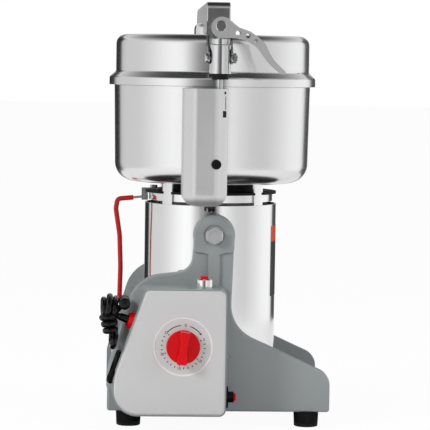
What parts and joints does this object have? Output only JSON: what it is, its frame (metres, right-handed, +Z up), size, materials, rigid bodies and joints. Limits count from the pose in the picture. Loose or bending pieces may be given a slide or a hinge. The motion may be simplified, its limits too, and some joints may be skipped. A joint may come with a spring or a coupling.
{
  "type": "grain mill",
  "caption": "Swing-type electric grain mill: steel bowl with hinged, clamped lid on a motor barrel that tilts between two cast side frames, with a timer and switch pod.",
  "frame": {"origin": "centre of the machine's footprint box on the table, under the feet; the free cord is left out", "axes": "+Z up, -Y is the control side with the timer knob, +X is the side the bowl tilts towards; the barrel axis is at x -0.0067, y 0.01545"},
  "size_m": [0.2447, 0.2888, 0.4459],
  "materials": {
    "frame_paint": "satin hammered grey paint on castings",
    "cover_paint": "pale grey satin paint",
    "polished_steel": "mirror polished",
    "satin_steel": "fine circular brushing",
    "plate_steel": "mill finish and zinc plate",
    "lever_steel": "satin cast steel",
    "housing_aluminium": "satin die casting",
    "bell_aluminium": "raw die casting",
    "core_iron": "dark lacquered laminations",
    "winding_copper": "enamelled copper wire",
    "bush_brass": "turned",
    "black_rubber": "matt moulded rubber",
    "seal_rubber": "pale silicone",
    "black_plastic": "matt moulded",
    "black_cable": "glossy cable jacket",
    "black_steel": "black oxide",
    "red_plastic": "glossy moulded",
    "red_sleeve": "soft sleeve",
    "white_plastic": "moulded housing"
  },
  "bodies": {
    "base": {"near_side_frame": "frame_paint", "far_side_frame": "frame_paint", "pivot_bushes": "bush_brass", "base_plate": "plate_steel", "tie_rod": "plate_steel", "rubber_feet": "black_rubber", "base_screws": "plate_steel", "control_pod": "frame_paint", "pod_cover": "cover_paint", "timer_body": "white_plastic", "rocker_bezel": "black_plastic", "cord_gland": "red_plastic", "breaker_body": "black_plastic", "jog_collar": "polished_steel", "power_cord": "black_cable", "cord_hank": "black_cable", "power_plug": "black_plastic"},
    "tilt_unit": {"motor_barrel": "polished_steel", "pivot_bolts": "plate_steel", "end_bells": "bell_aluminium", "ball_bearings": "plate_steel", "field_core": "core_iron", "field_coils": "winding_copper", "carbon_brushes": "black_plastic", "top_ring": "polished_steel", "tie_straps": "satin_steel", "rubber_mount": "black_rubber", "bowl": "satin_steel", "clamp_housing": "housing_aluminium", "housing_bolt": "black_steel", "anchor_hook": "plate_steel", "interlock_switch": "black_plastic", "interlock_cables": "black_cable", "hinge_bracket": "satin_steel", "hinge_pin": "plate_steel", "latch_bracket": "plate_steel"},
    "rotor": {"motor_shaft": "plate_steel", "armature_core": "core_iron", "commutator": "winding_copper", "cooling_fan": "bell_aluminium", "blades": "satin_steel", "blade_fasteners": "plate_steel"},
    "lid_arm": {"lid_shell": "satin_steel", "lid_inner_plate": "satin_steel", "lid_seal": "seal_rubber", "lid_hub": "polished_steel", "crossbar": "satin_steel"},
    "clamp": {"clamp_cylinder": "lever_steel", "clamp_spring": "black_rubber", "trunnion_pins": "plate_steel"},
    "rod": {"clamp_rod": "plate_steel", "cam_pin": "polished_steel"},
    "lever": {"cam_lever": "lever_steel"},
    "latch": {"latch_rod": "plate_steel", "latch_sleeve": "red_sleeve"},
    "knob": {"timer_knob": "red_plastic"},
    "rocker": {"rocker_button": "black_cable"},
    "breaker": {"breaker_button": "red_plastic"},
    "jog": {"jog_button": "red_plastic"}
  },
  "joints": [
    {"name": "tilt", "type": "hinge", "parent": "base", "child": "tilt_unit", "pos_m": [-0.0067, 0.01545, 0.2025], "axis": [0, 1, 0], "range_deg": [0, 90]},
    {"name": "spindle", "type": "hinge", "parent": "tilt_unit", "child": "rotor", "pos_m": [-0.0067, 0.01545, 0.15], "axis": [0, 0, 1], "continuous": true},
    {"name": "lid_open", "type": "hinge", "parent": "tilt_unit", "child": "lid_arm", "pos_m": [-0.0067, 0.13645, 0.372], "axis": [-1, 0, 0], "range_deg": [0, 100]},
    {"name": "clamp_swing", "type": "hinge", "parent": "lid_arm", "child": "clamp", "pos_m": [-0.0052, -0.11055, 0.388], "axis": [1, 0, 0], "range_deg": [-1.1, 5]},
    {"name": "rod_drop", "type": "slide", "parent": "clamp", "child": "rod", "axis": [0, 0, -1], "range_m": [0, 0.00301]},
    {"name": "lever_turn", "type": "hinge", "parent": "rod", "child": "lever", "pos_m": [-0.0052, -0.11055, 0.4209], "axis": [0, -1, 0], "range_deg": [0, 150]},
    {"name": "latch_swing", "type": "hinge", "parent": "tilt_unit", "child": "latch", "pos_m": [-0.0782, 0.01545, 0.2375], "axis": [0, 1, 0], "range_deg": [-1.7, 35]},
    {"name": "timer_turn", "type": "hinge", "parent": "base", "child": "knob", "pos_m": [-0.0397, -0.13455, 0.091], "axis": [0, 1, 0], "range_deg": [0, 300]},
    {"name": "rocker_tip", "type": "hinge", "parent": "base", "child": "rocker", "pos_m": [-0.10595, -0.11314, 0.06669], "axis": [0.1082, -0.9941, 0], "range_deg": [-8, 8]},
    {"name": "breaker_press", "type": "slide", "parent": "base", "child": "breaker", "axis": [-1, 0, 0], "range_m": [0, 0.002], "stiffness_N_per_m": 600},
    {"name": "jog_press", "type": "slide", "parent": "base", "child": "jog", "axis": [0, 0, -1], "range_m": [0, 0.003], "stiffness_N_per_m": 500}
  ],
  "couplings": [
    {"joint": "rod_drop", "follows": "lever_turn", "m_per_rad": 0.0011459}
  ]
}
